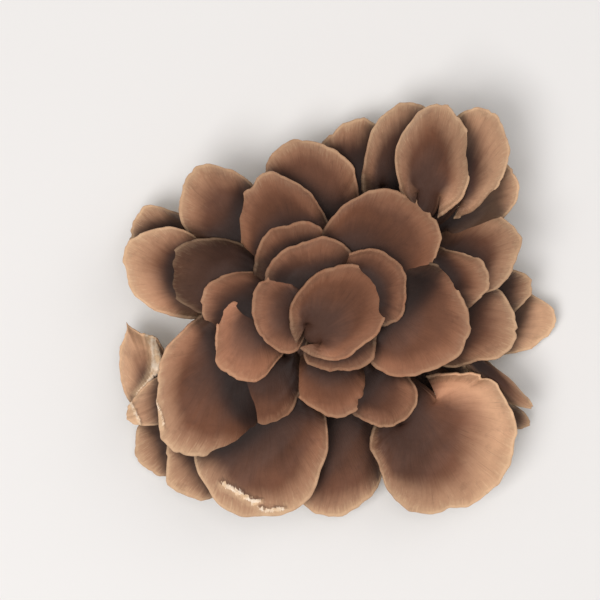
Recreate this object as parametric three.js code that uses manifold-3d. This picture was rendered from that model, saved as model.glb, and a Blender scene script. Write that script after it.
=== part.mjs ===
// Maitake, or hen of the woods: one cluster of fan-shaped caps on flattened stems that branch from one
// base. Millimetres, +Z up. The origin is the centre of the flat cut under the base, and the caps spread
// round it in tiers. The whole fruit body grew as one piece, so it is one closed solid.

import * as THREE from 'three';
import { mergeVertices } from 'three/addons/utils/BufferGeometryUtils.js';
import Module from 'manifold-3d';

const DEG = Math.PI / 180;
const UP = new THREE.Vector3(0, 0, 1);

// --- Driving dimensions ------------------------------------------------------------------------------

// The base: a stout stub, cut flat below, that swells and then narrows between the stems that leave it.
// Each entry of the profile is a radius and a height.
const BASE = {
  profile: [[23, 0], [28, 7], [29, 15], [26, 23], [20, 30], [12, 36]],
  top: 40, sides: 15, lobes: 5, lobeShare: 0.05,
};

// The stem of a frond: half its width and its thickness at the root, and at the neck, where the cap begins.
// A neck is as wide as its cap allows, and no edge is thinner than a share of the thickness.
const STEM = {
  rootHalfWidth: 3.4, rootThickness: 5.5, neckShare: 0.15, neckThickness: 4.6, edgeShare: 0.3,
};

// The cap: how thick its margin is, where its focus lies in the outline, how far the margin curls under,
// and how far the sides droop as a share of the width.
const CAP = { marginThickness: 1.4, focusShare: 0.62, curl: 1.6, cupShare: 0.04 };

// The waves of a cap: shares of its radius that the outline waves by, and how far the margin rises and
// falls.
const WAVE = { outlineShare: 0.035, lobeShare: 0.02, rise: 0.9 };

// Tiers, from the lowest caps to the top one: height of the neck, slope of the cap, its arch, the root's
// place, and how far the fan opens to each side. The topmost cap opens nearly all round its neck.
const TIERS = {
  skirt: { neck: 12, slope: -9, arch: 1.8, rootRadius: 20, rootHeight: 9, fan: 128 * DEG },
  outer: { neck: 18, slope: -10, arch: 2.2, rootRadius: 20, rootHeight: 15, fan: 128 * DEG },
  middle: { neck: 24, slope: -11, arch: 2.6, rootRadius: 16, rootHeight: 21, fan: 128 * DEG },
  upper: { neck: 31, slope: -10, arch: 2.8, rootRadius: 10, rootHeight: 28, fan: 128 * DEG },
  crown: { neck: 38, slope: -8, arch: 2.2, rootRadius: 6, rootHeight: 34, fan: 128 * DEG },
  top: { neck: 43, slope: -5, arch: 2.4, rootRadius: 2, rootHeight: 34, fan: 168 * DEG },
};

// Fronds in the order in which they overlap, the lowest first: tier, tip [x, y] seen from above, heading in
// degrees from +X, and the width and length of the cap.
const FRONDS = [
  ['front_right_low', 'skirt', [43, -27], -32, 21, 26],
  ['skirt_left', 'skirt', [-54, -45], -142, 22, 26],
  ['skirt_front', 'skirt', [-42, -53], -122, 26, 28],
  ['right_far', 'skirt', [68, -4.5], -8, 20, 31],
  ['right_sliver_low', 'skirt', [60.5, -34], -30, 7, 22],
  ['right_sliver_high', 'skirt', [61, -28], -36, 6, 24],
  ['back_right_low', 'outer', [11, 56], 84, 26, 28],
  ['front_middle', 'outer', [3, -60], -88, 31, 32],
  ['back_right', 'outer', [29, 61], 71, 23, 28],
  ['right_edge', 'outer', [61, 8], 12, 16, 24],
  ['right_fan', 'outer', [56, -5], -8, 26, 28],
  ['right_high', 'outer', [54.5, 41.5], 36, 22, 26],
  ['left_top', 'outer', [-57, 26.5], 152, 18, 24],
  ['back_middle', 'outer', [-7, 50], 99, 29, 28],
  ['right_upper', 'outer', [56, 23], 26, 22, 26],
  ['back_corner', 'outer', [48.5, 57.5], 62, 22, 27],
  ['back_left', 'outer', [-39, 40], 132, 23, 26],
  ['left_high', 'outer', [-58.5, 17], 160, 24, 28],
  ['left_middle', 'outer', [-58.6, -3.4], 112, 14, 25],
  ['left_small', 'outer', [-57.4, -29.4], -160, 14, 25],
  ['front_left', 'outer', [-20.5, -59.5], -95, 39, 34],
  ['front_right', 'outer', [47.5, -53.2], -50, 42.6, 32],
  ['back_right_inner', 'middle', [34.5, 60], 79, 20, 27.5],
  ['left_low', 'middle', [-41.5, -40], -118, 34, 36],
  ['left_shade', 'middle', [-45, 13], 165, 24, 26],
  ['right_middle', 'middle', [47, 9], -2, 19, 22],
  ['front_left_low', 'middle', [-21.5, -32], -108, 22, 22],
  ['front_right_inner', 'middle', [21, -33], -62, 19, 19],
  ['front_inner', 'middle', [3, -30], -84, 21, 19],
  ['back_left_inner', 'middle', [-21, 38], 122, 24, 26],
  ['right_inner', 'upper', [39, -10.2], -30, 32, 27],
  ['right_dome', 'upper', [29.6, 28.4], 38, 33, 30],
  ['back_inner', 'upper', [-13, 25], 108, 21, 18],
  ['left_inner', 'upper', [-35, 2], 177, 21, 24],
  ['front_left_inner', 'upper', [-25, -19], -106, 20, 20],
  ['crown_back', 'crown', [-7, 20], 104, 24, 14],
  ['crown_front', 'crown', [6.5, -16.7], -74, 20, 13],
  ['crown_right', 'crown', [21, 12], 32, 22, 14],
  ['crown_left', 'crown', [-20, -1], 188, 21, 13],
  ['crown_top', 'top', [14, 9], 40, 25, 22],
].map(([name, tier, tip, heading, width, length], index) => (
  { name, tier: TIERS[tier], tip, heading: heading * DEG, width, length, index, lift: 0 }
));

// Settling: the caps lie on each other like shingles. Each cap is lifted by steps until it clears all below
// it by the gap, tested in square cells seen from above.
const SETTLE = { cell: 1.5, gap: 0.3, step: 0.5, mostLift: 12, from: 0.4, columns: 24, bands: 24 };

// How finely a frond is faceted: columns across the cap and across the stem, and bands along each.
const WIDE_CAP = 24;
const FACETS = {
  small: { across: 9, stemAcross: 3, stem: 1, cap: 2 },
  wide: { across: 15, stemAcross: 3, stem: 1, cap: 3 },
};

// --- Shape of one frond ------------------------------------------------------------------------------

// A fixed draw from 0 to 1 for the n-th trait of frond k, the same on every run.
function draw(k, n) {
  const v = Math.sin(k * 12.9898 + n * 78.233) * 43758.5453;
  return v - Math.floor(v);
}

const mix = (a, b, t) => a + (b - a) * t;

// Columns from -1, the left edge, to 1, the right edge.
const columnsOf = (count) => Array.from({ length: count + 1 }, (_, i) => 2 * i / count - 1);

// Across a neck or stem, column x lies this far to the side and has this share of the thickness.
const sideShare = (x) => Math.sin(x * Math.PI / 2);
const thickShare = (x) => Math.max(Math.cos(x * Math.PI / 2), STEM.edgeShare);

// The frame of a frond: its forward, side and normal vectors, and the neck where its stem meets its cap.
function frameOf({ tier, tip, heading, length, lift, index }) {
  const slope = (tier.slope + mix(-1.5, 1.5, draw(index, 1))) * DEG;
  const plan = new THREE.Vector3(Math.cos(heading), Math.sin(heading), 0);
  const forward = plan.clone().multiplyScalar(Math.cos(slope)).addScaledVector(UP, Math.sin(slope));
  const normal = UP.clone().multiplyScalar(Math.cos(slope)).addScaledVector(plan, -Math.sin(slope));
  const side = new THREE.Vector3().crossVectors(normal, forward);
  const reach = length * Math.cos(slope) + CAP.curl * Math.sin(slope);
  const neck = new THREE.Vector3(tip[0], tip[1], tier.neck + lift).addScaledVector(plan, -reach);
  return { forward, normal, side, neck };
}

// The outline of a cap at fan angle a, as [forward, sideways] from the neck: an ellipse seen from a focus
// near its inner end, waved and lobed.
function outlineAt({ width, length, index }, a) {
  const half = length / (1 + CAP.focusShare);
  const focus = half * CAP.focusShare;
  const ellipse = focus * Math.cos(a) + Math.sqrt(half ** 2 - (focus * Math.sin(a)) ** 2);
  const waves = 3 + Math.floor(3 * draw(index, 2));
  const wave = WAVE.outlineShare * Math.sin(waves * a + 2 * Math.PI * draw(index, 3));
  const lobe = WAVE.lobeShare * Math.sin((waves + 4) * a + 2 * Math.PI * draw(index, 4));
  const radius = ellipse * (1 + (wave + lobe) * Math.sqrt(Math.abs(Math.sin(a))));
  return [radius * Math.cos(a), radius * Math.sin(a) * width / (2 * half)];
}

// Height of a cap's top over the plane of its frame, at share r of the way out and fan angle a: an arch
// along it, sides that droop, a margin that curls under, and slow waves that grow towards the margin.
function heightAt({ tier, width, index }, r, a, sideways) {
  const waves = 2 + Math.floor(3 * draw(index, 5));
  const arch = tier.arch * Math.sin(Math.PI * r ** 0.9) * Math.cos(a / 2) ** 2;
  const cup = CAP.cupShare * width * (2 * sideways / width) ** 2;
  const curl = CAP.curl * r ** 5;
  return arch - cup - curl + WAVE.rise * r ** 2 * Math.sin(waves * a + 2 * Math.PI * draw(index, 6));
}

// A ring round the stem, at share t of the way from its root in the base to the neck: top left to right,
// then bottom right to left.
function stemRing(frond, frame, t, columns) {
  const { rootRadius, rootHeight } = frond.tier;
  const out = frame.neck.clone().setZ(0).normalize();
  const root = out.clone().multiplyScalar(rootRadius).setZ(rootHeight);
  const reach = frame.neck.distanceTo(root);
  const path = new THREE.CubicBezierCurve3(
    root,
    root.clone().addScaledVector(out, reach * 0.25).setZ(mix(rootHeight, frame.neck.z, 0.35)),
    frame.neck.clone().addScaledVector(frame.forward, -reach * 0.35),
    frame.neck,
  );
  const along = path.getTangent(t);
  const side = frame.side.clone().addScaledVector(along, -frame.side.dot(along)).normalize();
  const normal = new THREE.Vector3().crossVectors(along, side);
  const halfWidth = mix(STEM.rootHalfWidth, STEM.neckShare * frond.width, t);
  const thickness = mix(STEM.rootThickness, STEM.neckThickness, t);
  const centre = path.getPoint(t).addScaledVector(normal, -thickness / 2);
  const rim = (x, sign) => centre.clone()
    .addScaledVector(side, halfWidth * sideShare(x))
    .addScaledVector(normal, sign * thickness / 2 * thickShare(x));
  return [...columns.map((x) => rim(x, 1)), ...columns.map((x) => rim(x, -1)).reverse()];
}

// A ring round the cap, at share r of the way from the neck to the margin.
function capRing(frond, frame, r, columns) {
  const top = columns.map((x) => {
    const angle = x * frond.tier.fan;
    const [ahead, aside] = outlineAt(frond, angle);
    const sideways = mix(STEM.neckShare * frond.width * sideShare(x), aside, r);
    const sunk = STEM.neckThickness * (1 - thickShare(x)) / 2 * (1 - r);
    return frame.neck.clone()
      .addScaledVector(frame.forward, ahead * r)
      .addScaledVector(frame.side, sideways)
      .addScaledVector(frame.normal, heightAt(frond, r, angle, sideways) - sunk);
  });
  const bottom = columns.map((x, i) => {
    const thickness = mix(STEM.neckThickness * thickShare(x), CAP.marginThickness, r);
    return top[i].clone().addScaledVector(frame.normal, -thickness);
  });
  return [...top, ...bottom.reverse()];
}

// --- Settling ----------------------------------------------------------------------------------------

// The lowest and highest point of a cap in each cell that it covers, but for the part next to its neck.
function footprint(frond) {
  const columns = columnsOf(SETTLE.columns);
  const frame = frameOf(frond);
  const cells = new Map();
  for (let j = 0; j <= SETTLE.bands; j++) {
    for (const { x, y, z } of capRing(frond, frame, mix(SETTLE.from, 1, j / SETTLE.bands), columns)) {
      const key = `${Math.round(x / SETTLE.cell)},${Math.round(y / SETTLE.cell)}`;
      const [low, high] = cells.get(key) ?? [z, z];
      cells.set(key, [Math.min(low, z), Math.max(high, z)]);
    }
  }
  return cells;
}

// Lifts each frond in turn until it clears those below it.
function settle(fronds) {
  const piled = new Map();
  const pileAt = (key) => piled.get(key) ?? -Infinity;
  const clear = (cells) => [...cells].every(([key, [low]]) => low >= pileAt(key) + SETTLE.gap);
  for (const frond of fronds) {
    let cells = footprint(frond);
    while (!clear(cells) && frond.lift < SETTLE.mostLift) {
      frond.lift += SETTLE.step;
      cells = footprint(frond);
    }
    for (const [key, [, high]] of cells) piled.set(key, Math.max(high, pileAt(key)));
  }
}

// --- Geometry ----------------------------------------------------------------------------------------

// The faces between two rings, each given by its first point and its number of columns, of which the second
// has equal or a whole number of times more. Top and bottom are split alike, so that a thin cap never
// crosses itself.
function bandFaces([first, few], [second, many]) {
  const ratio = many / few;
  const faces = [];
  const oppositeFirst = (i) => first + 2 * few + 1 - i;
  const oppositeSecond = (i) => second + 2 * many + 1 - i;
  for (let i = 0; i < few; i++) {
    const middle = i * ratio + Math.floor(ratio / 2);
    faces.push(first + i, second + middle, first + i + 1);
    faces.push(oppositeFirst(i), oppositeFirst(i + 1), oppositeSecond(middle));
    for (let k = i * ratio; k < (i + 1) * ratio; k++) {
      const near = k < middle ? i : i + 1;
      faces.push(first + near, second + k, second + k + 1);
      faces.push(oppositeFirst(near), oppositeSecond(k + 1), oppositeSecond(k));
    }
  }
  faces.push(first, oppositeFirst(0), oppositeSecond(0));
  faces.push(first, oppositeSecond(0), second);
  faces.push(first + few, second + many, oppositeSecond(many));
  faces.push(first + few, oppositeSecond(many), oppositeFirst(few));
  return faces;
}

// A closed skin over rings, with a strip across the first and across the last.
function skin(rings) {
  const starts = [];
  let count = 0;
  for (const ring of rings) {
    starts.push([count, ring.length / 2 - 1]);
    count += ring.length;
  }
  const faces = [];
  for (let j = 0; j + 1 < rings.length; j++) faces.push(...bandFaces(starts[j], starts[j + 1]));
  const [root, few] = starts[0];
  for (let i = 0; i < few; i++) {
    const opposite = root + 2 * few + 1 - i;
    faces.push(root + i, root + i + 1, opposite - 1, root + i, opposite - 1, opposite);
  }
  const [margin, many] = starts.at(-1);
  for (let i = 0; i < many; i++) {
    const opposite = margin + 2 * many + 1 - i;
    faces.push(margin + i, opposite, opposite - 1, margin + i, opposite - 1, margin + i + 1);
  }
  const geometry = new THREE.BufferGeometry();
  const positions = rings.flat().flatMap(({ x, y, z }) => [x, y, z]);
  geometry.setAttribute('position', new THREE.Float32BufferAttribute(positions, 3));
  geometry.setIndex(faces);
  return geometry;
}

function frondGeometry(frond) {
  const { across, stemAcross, stem, cap } = frond.width < WIDE_CAP ? FACETS.small : FACETS.wide;
  const frame = frameOf(frond);
  const rings = [];
  for (let j = 0; j <= stem - 1; j++) rings.push(stemRing(frond, frame, j / stem, columnsOf(stemAcross)));
  rings.push(capRing(frond, frame, 0, columnsOf(stemAcross)));
  for (let j = 1; j <= cap; j++) rings.push(capRing(frond, frame, j / cap, columnsOf(across)));
  return skin(rings);
}

function baseGeometry() {
  const { profile, top, sides, lobes, lobeShare } = BASE;
  const outline = [[0, 0], ...profile, [0, top]];
  const points = outline.map(([radius, height]) => new THREE.Vector2(radius, height));
  const geometry = new THREE.LatheGeometry(points, sides).rotateX(Math.PI / 2);
  const position = geometry.getAttribute('position');
  for (let i = 0; i < position.count; i++) {
    const angle = Math.atan2(position.getY(i), position.getX(i));
    const swell = 1 + lobeShare * Math.sin(lobes * angle + 1);
    position.setXYZ(i, position.getX(i) * swell, position.getY(i) * swell, position.getZ(i));
  }
  return geometry;
}

// --- The cluster -------------------------------------------------------------------------------------

const wasm = await Module();
wasm.setup();

// A closed geometry as a manifold-3d solid.
function solidOf(geometry) {
  geometry.deleteAttribute('normal');
  geometry.deleteAttribute('uv');
  const merged = mergeVertices(geometry, 1e-4);
  const vertProperties = merged.getAttribute('position').array;
  const triVerts = new Uint32Array(merged.index.array);
  return new wasm.Manifold(new wasm.Mesh({ numProp: 3, vertProperties, triVerts }));
}

// A manifold-3d solid as a geometry with flat facets.
function geometryOf(solid) {
  const { vertProperties, triVerts } = solid.getMesh();
  const geometry = new THREE.BufferGeometry();
  geometry.setAttribute('position', new THREE.BufferAttribute(new Float32Array(vertProperties), 3));
  geometry.setIndex(new THREE.BufferAttribute(new Uint32Array(triVerts), 1));
  geometry.computeVertexNormals();
  return geometry;
}

// Base and fronds fused. Fronds that cross can seal a hollow or part off a scrap between them, so only the
// outermost skin of the largest body is kept.
function fuse() {
  const fronds = FRONDS.map((frond) => solidOf(frondGeometry(frond)));
  const solid = fronds.reduce((fused, frond) => fused.add(frond), solidOf(baseGeometry()));
  return solid.decompose().reduce((largest, body) => (body.volume() > largest.volume() ? body : largest));
}

function makeCluster() {
  const flesh = new THREE.MeshStandardMaterial({ color: 0x9a7757, roughness: 0.75, metalness: 0 });
  const mesh = new THREE.Mesh(geometryOf(fuse()), flesh);
  mesh.name = 'maitake_cluster';
  return mesh;
}

settle(FRONDS);

const part = new THREE.Group();
part.add(makeCluster());

export default part;
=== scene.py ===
"""Maitake: one cluster of fan-shaped caps on flattened stems that branch from one base.

The cluster stands on the flat cut under its base, with the origin at the centre of the cut, +Z up. Sizes are
in millimetres until a mesh is written, and in metres from there on. Each frond is one closed skin: a tube
that leaves the base, opens into a fan at its neck and closes round the rim of the cap.
"""

import logging
import math
from dataclasses import dataclass, field
from enum import Enum

import bmesh
import bpy
import numpy as np
from numpy.typing import NDArray
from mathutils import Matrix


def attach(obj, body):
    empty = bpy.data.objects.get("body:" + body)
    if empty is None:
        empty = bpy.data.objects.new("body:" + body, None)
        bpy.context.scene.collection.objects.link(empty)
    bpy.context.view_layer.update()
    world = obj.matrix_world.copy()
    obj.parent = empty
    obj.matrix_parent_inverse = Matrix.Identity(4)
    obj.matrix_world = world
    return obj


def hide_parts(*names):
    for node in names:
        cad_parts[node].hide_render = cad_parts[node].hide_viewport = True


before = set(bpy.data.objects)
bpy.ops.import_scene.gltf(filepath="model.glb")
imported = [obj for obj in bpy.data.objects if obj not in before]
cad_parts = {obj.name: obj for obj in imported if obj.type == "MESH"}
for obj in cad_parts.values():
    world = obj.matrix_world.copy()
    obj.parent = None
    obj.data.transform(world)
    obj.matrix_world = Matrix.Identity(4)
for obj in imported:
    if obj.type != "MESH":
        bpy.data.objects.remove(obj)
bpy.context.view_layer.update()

Array = NDArray[np.float64]
Colour = tuple[float, float, float, float]

LOG = logging.getLogger("maitake")
NODE = "maitake_cluster"
BODY = "root"
MM = 0.001
DEG = math.pi / 180
TURN = 2 * math.pi
UP = np.array([0.0, 0.0, 1.0])


# --- Driving dimensions -----------------------------------


@dataclass(frozen=True)
class TierSizes:
    """How the fronds of one tier stand.

    Attributes:
        neck: Height of the neck, where the cap begins.
        slope: Slope of the cap in degrees, falling outwards where it is negative.
        arch: How far the middle of the cap rises over its ends.
        root_radius: Distance of the stem's root from the axis.
        root_height: Height of the stem's root.
        fan: How far the fan opens to each side, in radians.
    """

    neck: float
    slope: float
    arch: float
    root_radius: float
    root_height: float
    fan: float = 128 * DEG


class Tier(Enum):
    """The tiers, from the lowest caps to the topmost one, which opens nearly all round its neck."""

    SKIRT = TierSizes(12, -9, 1.8, 20, 9)
    OUTER = TierSizes(18, -10, 2.2, 20, 15)
    MIDDLE = TierSizes(24, -11, 2.6, 16, 21)
    UPPER = TierSizes(31, -10, 2.8, 10, 28)
    CROWN = TierSizes(38, -8, 2.2, 6, 34)
    TOP = TierSizes(43, -5, 2.4, 2, 34, 168 * DEG)


@dataclass(frozen=True)
class StemSizes:
    """The flattened stem.

    Attributes:
        root_half_width: Half its width at the root.
        root_thickness: Its thickness at the root.
        neck_share: Half its width at the neck, as a share of the cap's width.
        neck_thickness: Its thickness at the neck.
        edge_share: The least share of the thickness that its side edges have.
        root_reach: How far it runs on outwards from the root, as a share of the way to the neck.
        root_rise: How high that first run ends, as a share of the rise to the neck.
        neck_reach: How far before the neck it already runs as the cap does, as a share of the way.
        edge_bulge: How far its side edges swell, as a share of half its width.
        ridges: How many ridges lie across it.
        ridge_share: How high they are, as a share of half the thickness.
    """

    root_half_width: float = 3.4
    root_thickness: float = 5.5
    neck_share: float = 0.15
    neck_thickness: float = 4.6
    edge_share: float = 0.3
    root_reach: float = 0.25
    root_rise: float = 0.35
    neck_reach: float = 0.35
    edge_bulge: float = 0.18
    ridges: float = 9
    ridge_share: float = 0.05


@dataclass(frozen=True)
class CapSizes:
    """The fan-shaped cap.

    Attributes:
        margin_thickness: Its thickness at the margin.
        focus_share: How far from the middle of its outline the neck lies, as a share of half its length.
        curl: How far the margin curls under.
        cup_share: How far its sides droop, as a share of its width.
        outline_share: Height of the slow waves of its outline, as a share of its radius.
        lobe_share: Height of the faster ones.
        rise: Height of the waves of its top at the margin.
        notches: How many notches its edge has.
        notch_reach: The largest fan angle at which one may lie.
        notch_depth: The deepest that one may be, as a share of the radius.
        fray_start: Share of the way out where the fine edge begins to show.
        edge_end: Share of the way out where the stem's round side edges have flattened.
        point_spread: How wide the pointed part of a tip is, in radians.
        lip: How far the lip turns down.
        flap: How high the raised side of a tear stands, as a share of the tear's depth.
    """

    margin_thickness: float = 1.4
    focus_share: float = 0.62
    curl: float = 1.6
    cup_share: float = 0.04
    outline_share: float = 0.035
    lobe_share: float = 0.02
    rise: float = 0.9
    notches: int = 4
    notch_reach: float = 1.9
    notch_depth: float = 0.045
    fray_start: float = 0.55
    edge_end: float = 0.4
    point_spread: float = 0.45
    lip: float = 0.7
    flap: float = 0.6


@dataclass(frozen=True)
class SettleSizes:
    """How caps are laid on each other.

    Attributes:
        cell: Size of a cell of the settling grid.
        grid: How many cells it has along a side.
        gap: The least gap between two caps.
        step: What a lift is rounded up to.
        most_lift: The largest lift.
        start: Share of the way out from which a cap is read.
        count: How many columns and bands of it are read.
        fine_count: How many are read for its shade on those below.
        spread: How wide that shade is softened.
    """

    cell: float = 1.5
    grid: int = 160
    gap: float = 0.3
    step: float = 0.5
    most_lift: float = 12.0
    start: float = 0.4
    count: int = 24
    fine_count: int = 60
    spread: float = 6.0


@dataclass(frozen=True)
class Density:
    """How finely a frond is drawn.

    Attributes:
        across: Columns across the fan.
        stem: Rows along the stem.
        cap: Rows from neck to margin.
        rim: Rows round the rim.
        edge: Steps round a side edge.
    """

    across: int = 88
    stem: int = 8
    cap: int = 32
    rim: int = 5
    edge: int = 4


STEM = StemSizes()
CAP = CapSizes()
SETTLE = SettleSizes()
FINE = Density(across=170, cap=70, rim=6)
# Cycles to a radian, and height as a share of the radius or in millimetres.
SCALLOPS = ((9, 0.006), (14, 0.005), (23, 0.005), (37, 0.004), (61, 0.002))
PLEATS = ((13, 0.16), (21, 0.11), (34, 0.07), (55, 0.045))


# --- One frond --------------------------------------------


def draw(k: float, n: float) -> float:
    """A fixed draw from 0 to 1 for the n-th trait of frond k, the same on every run."""
    value = math.sin(k * 12.9898 + n * 78.233) * 43758.5453
    return value - math.floor(value)


def mix(a: float | Array, b: float | Array, t: float | Array) -> float | Array:
    """Goes from a to b as t goes from 0 to 1."""
    return a + (b - a) * t


def smooth(low: float, high: float, value: Array) -> Array:
    """Rises from 0 at low to 1 at high, flat at both ends."""
    t = np.clip((value - low) / (high - low), 0, 1)
    return t * t * (3 - 2 * t)


def bell(distance: Array, width: float) -> Array:
    """1 where the distance is 0, and fading within about the width."""
    return np.exp(-((distance / width) ** 2))


def unit(vectors: Array) -> Array:
    """Vectors along the last axis, each made one long."""
    return vectors / np.linalg.norm(vectors, axis=-1, keepdims=True)


def side_share(x: Array) -> Array:
    """How far column x of a neck or stem lies to the side, from -1 to 1."""
    return np.sin(x * math.pi / 2)


def thick_share(x: Array) -> Array:
    """The share of the thickness that column x of a neck or stem has."""
    return np.maximum(np.cos(x * math.pi / 2), STEM.edge_share)


@dataclass(frozen=True)
class Tear:
    """A tear or crack in a cap's skin.

    Attributes:
        path: Points (x, y) that it follows, seen from above.
        width: Half its width.
        depth: How deep it is.
        jag: How far its edges wander.
    """

    path: tuple[tuple[float, float], ...]
    width: float
    depth: float
    jag: float

    def distance(self, x: Array, y: Array) -> Array:
        """Signed distance from each point to the nearest stretch of the path, seen from above.

        Args:
            x: First coordinates of the points.
            y: Their second coordinates.

        Returns:
            The distances, positive to the left of the path, and less by spikes and waves that make it ragged.
        """
        nearest, left = np.full(x.shape, np.inf), np.ones(x.shape)
        for (ax, ay), (bx, by) in zip(self.path[:-1], self.path[1:]):
            dx, dy = bx - ax, by - ay
            along = np.clip(((x - ax) * dx + (y - ay) * dy) / math.hypot(dx, dy) ** 2, 0, 1)
            away = np.hypot(x - ax - along * dx, y - ay - along * dy)
            hand = np.where(dx * (y - ay) > dy * (x - ax), 1.0, -1.0)
            left = np.where(away < nearest, hand, left)
            nearest = np.minimum(nearest, away)
        spikes = (1 - np.abs(np.sin(1.9 * x - 1.1 * y + 0.4))) ** 3
        spikes = spikes + 0.8 * (1 - np.abs(np.sin(3.1 * x + 1.7 * y))) ** 2
        waves = 0.6 * np.sin(1.3 * x - 2.1 * y) + 0.4 * np.sin(5.3 * x - 4.1 * y)
        waves = waves + 0.3 * np.sin(9.7 * y + 2.3 * x)
        return left * np.maximum(nearest - self.jag * (2 * spikes + waves), 0)


@dataclass
class Frond:
    """One stem with its cap.

    Attributes:
        name: Its place in the cluster.
        tier: The tier it belongs to.
        tip: Where the cap ends, seen from above.
        heading: Direction from neck to tip, in degrees from +X.
        width: Width of the cap.
        length: Length of the cap from neck to tip.
        index: Its number, from which its waves are drawn.
        lift: How far settling lifted it.
        tears: Cracks in its skin.
        tone: How much paler it is than most, and negative on a darker one: partly its own colour,
        partly painted light on some pale caps and painted shade on the darkest.
        lean: How much paler its left is than its right, seen from the neck: painted light on one side and
        painted shade on the other.
        frill: How much the fine edge of the cap shows, 1 as on most.
        point: How pointed the tip is: the share of its radius that the cap lacks beside it.
        cover: How much lies over each cell of the settling grid, from 0 to 1, which the skin paints as shade.
        density: How finely it is drawn.
    """

    name: str
    tier: Tier
    tip: tuple[float, float]
    heading: float
    width: float
    length: float
    index: int = 0
    lift: float = 0.0
    tears: tuple[Tear, ...] = ()
    tone: float = 0.0
    lean: float = 0.0
    frill: float = 1.0
    point: float = 0.0
    cover: Array = field(default_factory=lambda: np.zeros((SETTLE.grid, SETTLE.grid)))
    density: Density = field(default_factory=Density)

    def __post_init__(self) -> None:
        """Works out the forward, side and normal vectors and the neck."""
        self.place()

    def phase(self, n: float) -> float:
        """Where the frond's n-th wave begins, in radians."""
        return TURN * draw(self.index, n)

    def place(self) -> None:
        """Sets the frond's frame: forward falls by its tier's slope, and the neck lies behind the tip."""
        slope = (self.tier.value.slope + mix(-1.5, 1.5, draw(self.index, 1))) * DEG
        heading = self.heading * DEG
        plan = np.array([math.cos(heading), math.sin(heading), 0.0])
        self.forward = plan * math.cos(slope) + UP * math.sin(slope)
        self.normal = UP * math.cos(slope) - plan * math.sin(slope)
        self.side = np.cross(self.normal, self.forward)
        reach = self.length * math.cos(slope) + CAP.curl * math.sin(slope)
        self.neck = np.array([*self.tip, self.tier.value.neck + self.lift]) - plan * reach

    def outline(self, angle: Array) -> tuple[Array, Array]:
        """The cap's outline at a fan angle: an ellipse seen from a focus near its inner end, waved and lobed.

        Args:
            angle: Fan angles, 0 straight ahead.

        Returns:
            How far ahead of the neck and how far aside the outline lies.
        """
        half = self.length / (1 + CAP.focus_share)
        focus = half * CAP.focus_share
        ellipse = focus * np.cos(angle) + np.sqrt(half**2 - (focus * np.sin(angle)) ** 2)
        waves = 3 + math.floor(3 * draw(self.index, 2))
        wave = CAP.outline_share * np.sin(waves * angle + self.phase(3))
        lobe = CAP.lobe_share * np.sin((waves + 4) * angle + self.phase(4))
        radius = ellipse * (1 + (wave + lobe) * np.sqrt(np.abs(np.sin(angle))))
        return radius * np.cos(angle), radius * np.sin(angle) * self.width / (2 * half)

    def height(self, share: Array, angle: Array, sideways: Array) -> Array:
        """Height of the cap's top over its frame.

        An arch along the cap, sides that droop, a margin that curls under, and slow waves that grow outwards.

        Args:
            share: Share of the way from neck to margin.
            angle: Fan angle.
            sideways: Distance from the cap's middle line.

        Returns:
            The heights.
        """
        waves = 2 + math.floor(3 * draw(self.index, 5))
        arch = self.tier.value.arch * np.sin(math.pi * share**0.9) * np.cos(angle / 2) ** 2
        cup = CAP.cup_share * self.width * (2 * sideways / self.width) ** 2
        wave = CAP.rise * share**2 * np.sin(waves * angle + self.phase(6))
        return arch - cup - CAP.curl * share**5 + wave

    def sideways(self, x: Array, aside: Array, share: Array) -> Array:
        """Distance from the cap's middle line, going from the stem's own at the neck to the outline's."""
        return mix(STEM.neck_share * self.width * side_share(x), aside, share)

    def body(self, x: Array, aside: Array, share: Array) -> tuple[Array, Array]:
        """The cap's body: its top, sunk by the neck as its side edges thin, and its thickness.

        Args:
            x: Column from -1 to 1 across the fan.
            aside: How far aside the outline lies.
            share: Share of the way from neck to margin.

        Returns:
            Heights of the top without its fine relief, and the thickness, which thins from neck to margin.
        """
        sunk = STEM.neck_thickness * (1 - thick_share(x)) / 2 * (1 - share)
        top = self.height(share, x * self.tier.value.fan, self.sideways(x, aside, share)) - sunk
        return top, mix(STEM.neck_thickness * thick_share(x), CAP.margin_thickness, share)

    def fray(self, angle: Array) -> Array:
        """The fine edge: a sum of sines as small scallops, less bells as notches and one beside the tip.

        Args:
            angle: Fan angle.

        Returns:
            How far the edge lies out, as a share of the radius.
        """
        edge = np.zeros_like(angle)
        for cycles, share in SCALLOPS:
            edge += share * np.sin(cycles * angle + self.phase(20 + cycles))
        for n in range(CAP.notches):
            centre = mix(-CAP.notch_reach, CAP.notch_reach, draw(self.index, 100 + n))
            depth = CAP.notch_depth * draw(self.index, 110 + n) ** 2
            edge -= depth * bell(angle - centre, mix(0.02, 0.06, draw(self.index, 120 + n)))
        beside = np.sqrt(np.abs(np.sin(angle))) * bell(angle, CAP.point_spread)
        return edge * self.frill - self.point * beside

    def relief(self, share: Array, angle: Array) -> Array:
        """The fine relief of the top, as sines: radial pleats that grow outwards, soft dents and faint zones.

        Args:
            share: Share of the way from neck to margin.
            angle: Fan angle.

        Returns:
            Heights, less a lip that turns down on the margin.
        """
        pleats = np.zeros_like(share * angle)
        for cycles, rise in PLEATS:
            sway = 0.5 * np.sin(3 * share + self.phase(60 + cycles))
            pleats = pleats + rise * np.sin(cycles * angle + sway * 2 + self.phase(61 + cycles))
        dents = 0.45 * np.sin(2.6 * angle + 4.2 * share + self.phase(70))
        dents = dents + 0.3 * np.sin(4.7 * angle - 7.5 * share + self.phase(71))
        zones = 0.06 * np.sin(TURN * (4.5 * share + 0.2 * np.sin(3 * angle)))
        lip = -CAP.lip * smooth(0.8, 1.0, share) ** 2
        return pleats * share**3 + dents * share**1.5 + zones * share + lip

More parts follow.
